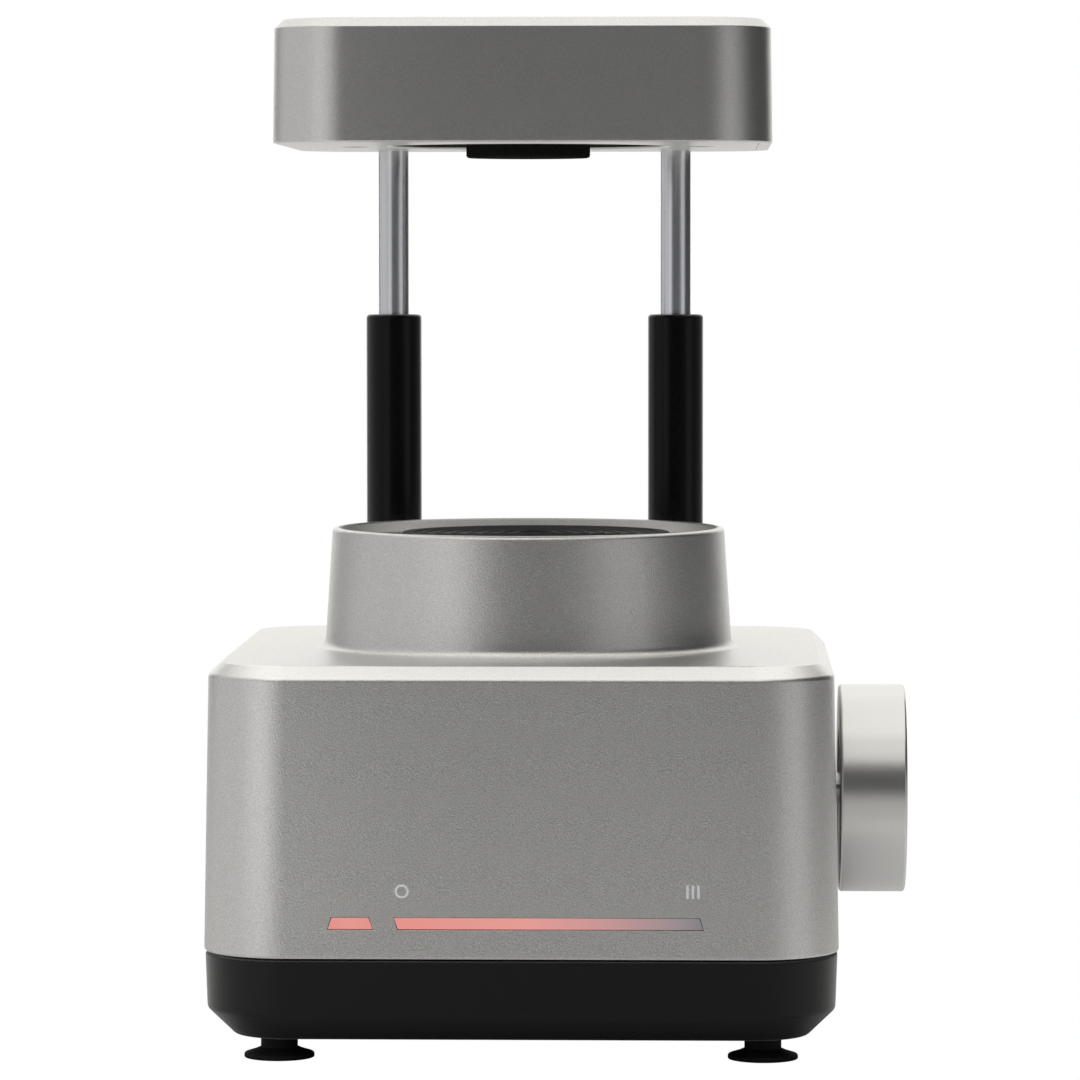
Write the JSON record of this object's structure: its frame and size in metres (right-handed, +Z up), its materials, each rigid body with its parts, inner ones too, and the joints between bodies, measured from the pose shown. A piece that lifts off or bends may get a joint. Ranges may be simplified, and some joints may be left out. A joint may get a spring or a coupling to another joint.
{
  "type": "paint bottle shaker",
  "caption": "Bench-top shaker for small paint bottles: orbiting rubber seat in a round collar, sliding clamp head on twin columns, speed knob and light bar.",
  "frame": {"origin": "on the table, under the middle of the whole footprint, which reaches from the left wall to the knob's face; the seat axis stands 6.91 mm towards -X", "axes": "+Z up, -Y towards the viewer in front of the light bar, +X towards the knob"},
  "size_m": [0.1342, 0.1204, 0.1964],
  "materials": {
    "housing_silver": "bead-blasted, clear anodised",
    "head_silver": "bead-blasted, clear anodised",
    "plate_silver": "fine bead-blasted",
    "knob_silver": "turned and bead-blasted",
    "tray_black": "satin moulded",
    "foot_rubber": "soft satin",
    "seat_rubber": "matt",
    "pad_rubber": "matt",
    "splash_rubber": "matt",
    "tube_black": "black satin anodised",
    "bush_black": "moulded",
    "rod_steel": "ground and polished",
    "shaft_steel": "ground",
    "screw_steel": "plated",
    "spring_steel": "drawn wire",
    "bracket_steel": "plated",
    "machined_aluminium": "turned",
    "rotor_copper": "varnished winding",
    "inner_plastic": "moulded",
    "inlet_plastic": "moulded",
    "carrier_white": "moulded",
    "board_green": "lacquered board",
    "power_window": "translucent, lit from behind",
    "level_window": "translucent, lit from behind",
    "light_chip": "encapsulated"
  },
  "bodies": {
    "base": {"upper_housing": "housing_silver", "base_tray": "tray_black", "foot_front_left": "foot_rubber", "foot_front_right": "foot_rubber", "foot_rear_left": "foot_rubber", "foot_rear_right": "foot_rubber", "splash_ring": "splash_rubber", "motor_grommets": "splash_rubber", "guide_tube_left": "tube_black", "guide_tube_right": "tube_black", "guide_bush_left": "bush_black", "guide_bush_right": "bush_black", "tray_screws": "screw_steel", "socket_screws": "screw_steel", "bracket_screws": "screw_steel", "motor_screws": "screw_steel", "small_screws": "screw_steel", "control_nut": "screw_steel", "head_spring_left": "spring_steel", "head_spring_right": "spring_steel", "motor_bracket": "bracket_steel", "control_plate": "bracket_steel", "motor_can": "bracket_steel", "motor_magnets": "bracket_steel", "column_socket_left": "machined_aluminium", "column_socket_right": "machined_aluminium", "motor_end_cap": "inner_plastic", "control_body": "inner_plastic", "inlet_nut": "inner_plastic", "board_components": "inner_plastic", "power_inlet": "inlet_plastic", "light_carrier": "carrier_white", "light_board": "board_green", "control_board": "board_green", "power_window": "power_window", "level_window": "level_window", "light_chips": "light_chip"},
    "crank": {"motor_shaft": "shaft_steel", "motor_rotor": "rotor_copper", "crank_hub": "machined_aluminium", "crank_set_screw": "screw_steel", "counterweight": "bracket_steel", "counterweight_screws": "screw_steel", "bearing_inner_ring": "bracket_steel"},
    "seat": {"seat_mat": "seat_rubber", "seat_plate": "machined_aluminium", "bearing_outer_ring": "bracket_steel", "bearing_balls": "bracket_steel"},
    "head": {"head_shell": "head_silver", "head_plate": "plate_silver", "clamp_pad": "pad_rubber", "plate_screws": "screw_steel", "rod_nuts": "screw_steel", "guide_rod_left": "rod_steel", "guide_rod_right": "rod_steel", "rod_piston_left": "bush_black", "rod_piston_right": "bush_black"},
    "knob": {"knob": "knob_silver", "knob_insert": "bush_black", "control_shaft": "shaft_steel"}
  },
  "joints": [
    {"name": "head_slide", "type": "slide", "parent": "base", "child": "head", "axis": [0, 0, 1], "range_m": [-0.0329, 0.03], "deforming": ["head_spring_left", "head_spring_right"]},
    {"name": "crank_spin", "type": "hinge", "parent": "base", "child": "crank", "pos_m": [-0.00691, 0, 0.075], "axis": [0, 0, 1], "continuous": true},
    {"name": "seat_spin", "type": "hinge", "parent": "crank", "child": "seat", "pos_m": [-0.00546, 0, 0.088], "axis": [0, 0, 1], "continuous": true},
    {"name": "knob_turn", "type": "hinge", "parent": "base", "child": "knob", "pos_m": [0.05416, 0, 0.047], "axis": [-1, 0, 0], "range_deg": [-210, 70]}
  ],
  "couplings": [
    {"joint": "seat_spin", "follows": "crank_spin", "ratio": -1}
  ]
}
